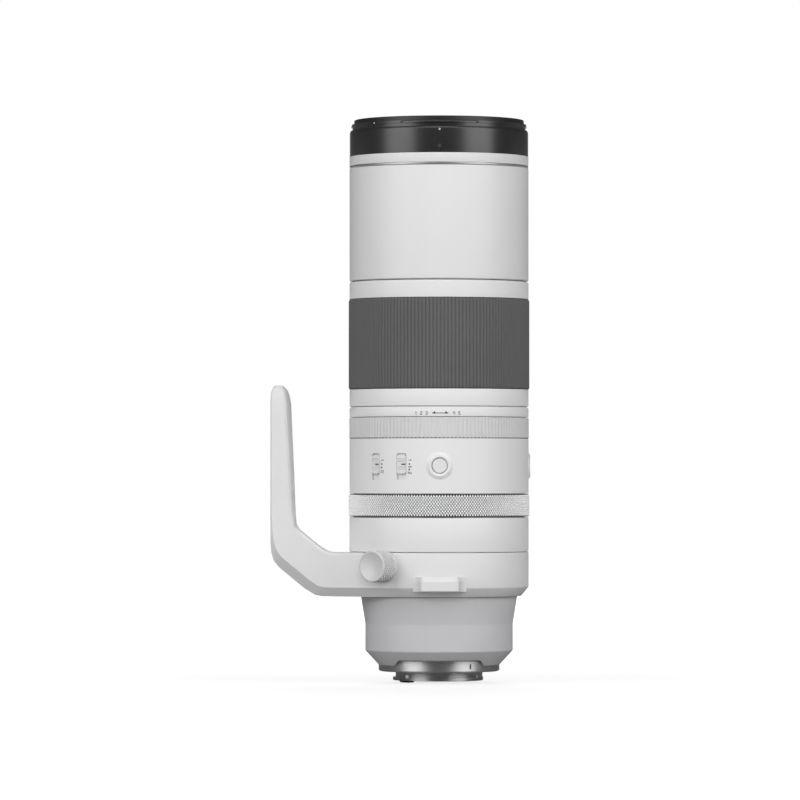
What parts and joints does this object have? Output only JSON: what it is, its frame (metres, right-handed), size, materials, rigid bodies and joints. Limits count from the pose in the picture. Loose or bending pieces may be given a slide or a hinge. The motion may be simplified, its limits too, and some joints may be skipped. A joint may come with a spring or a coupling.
{
  "type": "camera zoom lens",
  "caption": "White telephoto zoom lens with telescoping front barrel, ribbed zoom grip, knurled control ring, switch panel, rotating tripod collar with foot, and rear bayonet mount.",
  "frame": {"origin": "centre of the rear mount flange's face, on the optical axis", "axes": "+Z along the optical axis towards the front element; -X towards the tripod foot; -Y towards the switches"},
  "size_m": [0.1481, 0.1164, 0.3209],
  "materials": {
    "white_paint": "fine satin off-white heat-shield paint",
    "grey_paint": "satin light grey",
    "grey_plastic": "matt light grey moulding",
    "black_paint": "fine satin black paint",
    "black_anodised": "matt black anodised",
    "black_plastic": "matt black moulding",
    "blade_black": "dry black blade coating",
    "grip_rubber": "moulded grey rubber",
    "mount_metal": "turned and plated",
    "accent_metal": "turned bright",
    "dark_steel": "blackened",
    "steel": "ground",
    "cast_alloy": "dark anodised, machined",
    "contact_gold": "gold plated",
    "board_green": "solder mask",
    "coated_glass": "anti-reflection coated"
  },
  "bodies": {
    "barrel": {"chassis": "cast_alloy", "bayonet_mount": "mount_metal", "mount_screws": "dark_steel", "contact_block": "black_plastic", "contact_pins": "contact_gold", "rear_cover": "white_paint", "rear_cell": "black_anodised", "rear_lenses": "coated_glass", "main_board": "board_green", "rear_band": "white_paint", "guide_rods": "steel", "focus_motor": "cast_alloy", "shift_base": "cast_alloy", "iris_housing": "black_anodised", "guide_tube": "cast_alloy", "fixed_sleeve": "cast_alloy", "cam_retaining_pins": "steel", "switch_panel": "white_paint", "tension_pads": "grip_rubber", "label_band": "white_paint"},
    "front_group": {"front_barrel": "white_paint", "extension_tube": "white_paint", "cam_rollers": "steel", "accent_ring": "accent_metal", "hood_mount_ring": "black_paint", "filter_ring": "black_anodised", "front_cell": "black_anodised", "front_lenses": "coated_glass"},
    "zoom_ring": {"zoom_ring": "white_paint", "zoom_grip": "grip_rubber", "cam_tube": "cast_alloy"},
    "zoom_group": {"zoom_carriage": "black_anodised", "zoom_rollers": "steel", "zoom_lenses": "coated_glass"},
    "tension_ring": {"tension_ring": "grey_paint"},
    "control_ring": {"control_ring": "grey_paint"},
    "tripod_collar": {"tripod_collar": "white_paint", "strap_lugs": "white_paint"},
    "lock_knob": {"lock_knob": "grey_paint", "knob_stud": "steel"},
    "focus_switch": {"focus_switch": "grey_plastic"},
    "stabiliser_switch": {"stabiliser_switch": "grey_plastic"},
    "front_button": {"front_button": "grey_plastic"},
    "side_button": {"side_button": "grey_plastic"},
    "focus_group": {"focus_carriage": "black_plastic", "focus_lens": "coated_glass"},
    "shift_guide": {"shift_guide_frame": "steel"},
    "shift_group": {"shift_lens_frame": "black_plastic", "shift_lens": "coated_glass"},
    "iris_ring": {"iris_ring": "steel"},
    "iris_blade_1": {"iris_blade_1": "blade_black"},
    "iris_blade_2": {"iris_blade_2": "blade_black"},
    "iris_blade_3": {"iris_blade_3": "blade_black"},
    "iris_blade_4": {"iris_blade_4": "blade_black"},
    "iris_blade_5": {"iris_blade_5": "blade_black"},
    "iris_blade_6": {"iris_blade_6": "blade_black"},
    "iris_blade_7": {"iris_blade_7": "blade_black"},
    "iris_blade_8": {"iris_blade_8": "blade_black"},
    "iris_blade_9": {"iris_blade_9": "blade_black"}
  },
  "joints": [
    {"name": "zoom_turn", "type": "hinge", "parent": "barrel", "child": "zoom_ring", "pos_m": [0, 0, 0.186], "axis": [0, 0, 1], "range_deg": [0, 120]},
    {"name": "front_slide", "type": "slide", "parent": "barrel", "child": "front_group", "axis": [0, 0, 1], "range_m": [0, 0.092]},
    {"name": "zoom_group_slide", "type": "slide", "parent": "barrel", "child": "zoom_group", "axis": [0, 0, 1], "range_m": [0, 0.04]},
    {"name": "tension_turn", "type": "hinge", "parent": "barrel", "child": "tension_ring", "pos_m": [0, 0, 0.139], "axis": [0, 0, 1], "range_deg": [0, 60]},
    {"name": "control_turn", "type": "hinge", "parent": "barrel", "child": "control_ring", "pos_m": [0, 0, 0.0945], "axis": [0, 0, 1], "continuous": true},
    {"name": "collar_turn", "type": "hinge", "parent": "barrel", "child": "tripod_collar", "pos_m": [0, 0, 0.0555], "axis": [0, 0, 1], "continuous": true},
    {"name": "knob_turn", "type": "hinge", "parent": "tripod_collar", "child": "lock_knob", "pos_m": [-0.0345, -0.04662, 0.0605], "axis": [-0.5948, -0.8039, 0], "range_deg": [0, 270]},
    {"name": "focus_switch_slide", "type": "slide", "parent": "barrel", "child": "focus_switch", "axis": [0, 0, 1], "range_m": [-0.003, 0]},
    {"name": "stabiliser_switch_slide", "type": "slide", "parent": "barrel", "child": "stabiliser_switch", "axis": [0, 0, 1], "range_m": [-0.003, 0]},
    {"name": "front_button_press", "type": "slide", "parent": "barrel", "child": "front_button", "axis": [0, 1, 0], "range_m": [0, 0.0008], "stiffness_N_per_m": 1500, "springref_m": -0.0004},
    {"name": "side_button_press", "type": "slide", "parent": "barrel", "child": "side_button", "axis": [-1, 0, 0], "range_m": [0, 0.0008], "stiffness_N_per_m": 1500, "springref_m": -0.0004},
    {"name": "focus_slide", "type": "slide", "parent": "barrel", "child": "focus_group", "axis": [0, 0, 1], "range_m": [-0.008, 0.008]},
    {"name": "shift_x", "type": "slide", "parent": "barrel", "child": "shift_guide", "axis": [1, 0, 0], "range_m": [-0.001, 0.001]},
    {"name": "shift_y", "type": "slide", "parent": "shift_guide", "child": "shift_group", "axis": [0, 1, 0], "range_m": [-0.001, 0.001]},
    {"name": "iris_turn", "type": "hinge", "parent": "barrel", "child": "iris_ring", "pos_m": [0, 0, 0.1095], "axis": [0, 0, 1], "range_deg": [0, 24]},
    {"name": "blade_1_swing", "type": "hinge", "parent": "barrel", "child": "iris_blade_1", "pos_m": [0.0255, 0, 0.1075], "axis": [0, 0, 1], "range_deg": [0, 20]},
    {"name": "blade_2_swing", "type": "hinge", "parent": "barrel", "child": "iris_blade_2", "pos_m": [0.01953, 0.01639, 0.1075], "axis": [0, 0, 1], "range_deg": [0, 20]},
    {"name": "blade_3_swing", "type": "hinge", "parent": "barrel", "child": "iris_blade_3", "pos_m": [0.00443, 0.02511, 0.1075], "axis": [0, 0, 1], "range_deg": [0, 20]},
    {"name": "blade_4_swing", "type": "hinge", "parent": "barrel", "child": "iris_blade_4", "pos_m": [-0.01275, 0.02208, 0.1075], "axis": [0, 0, 1], "range_deg": [0, 20]},
    {"name": "blade_5_swing", "type": "hinge", "parent": "barrel", "child": "iris_blade_5", "pos_m": [-0.02396, 0.00872, 0.1075], "axis": [0, 0, 1], "range_deg": [0, 20]},
    {"name": "blade_6_swing", "type": "hinge", "parent": "barrel", "child": "iris_blade_6", "pos_m": [-0.02396, -0.00872, 0.1075], "axis": [0, 0, 1], "range_deg": [0, 20]},
    {"name": "blade_7_swing", "type": "hinge", "parent": "barrel", "child": "iris_blade_7", "pos_m": [-0.01275, -0.02208, 0.1075], "axis": [0, 0, 1], "range_deg": [0, 20]},
    {"name": "blade_8_swing", "type": "hinge", "parent": "barrel", "child": "iris_blade_8", "pos_m": [0.00443, -0.02511, 0.1075], "axis": [0, 0, 1], "range_deg": [0, 20]},
    {"name": "blade_9_swing", "type": "hinge", "parent": "barrel", "child": "iris_blade_9", "pos_m": [0.01953, -0.01639, 0.1075], "axis": [0, 0, 1], "range_deg": [0, 20]}
  ],
  "couplings": [
    {"joint": "front_slide", "follows": "zoom_turn", "m_per_rad": 0.043927},
    {"joint": "zoom_group_slide", "follows": "zoom_turn", "m_per_rad": 0.019099},
    {"joint": "blade_1_swing", "follows": "iris_turn", "ratio": 0.83333},
    {"joint": "blade_2_swing", "follows": "iris_turn", "ratio": 0.83333},
    {"joint": "blade_3_swing", "follows": "iris_turn", "ratio": 0.83333},
    {"joint": "blade_4_swing", "follows": "iris_turn", "ratio": 0.83333},
    {"joint": "blade_5_swing", "follows": "iris_turn", "ratio": 0.83333},
    {"joint": "blade_6_swing", "follows": "iris_turn", "ratio": 0.83333},
    {"joint": "blade_7_swing", "follows": "iris_turn", "ratio": 0.83333},
    {"joint": "blade_8_swing", "follows": "iris_turn", "ratio": 0.83333},
    {"joint": "blade_9_swing", "follows": "iris_turn", "ratio": 0.83333}
  ]
}
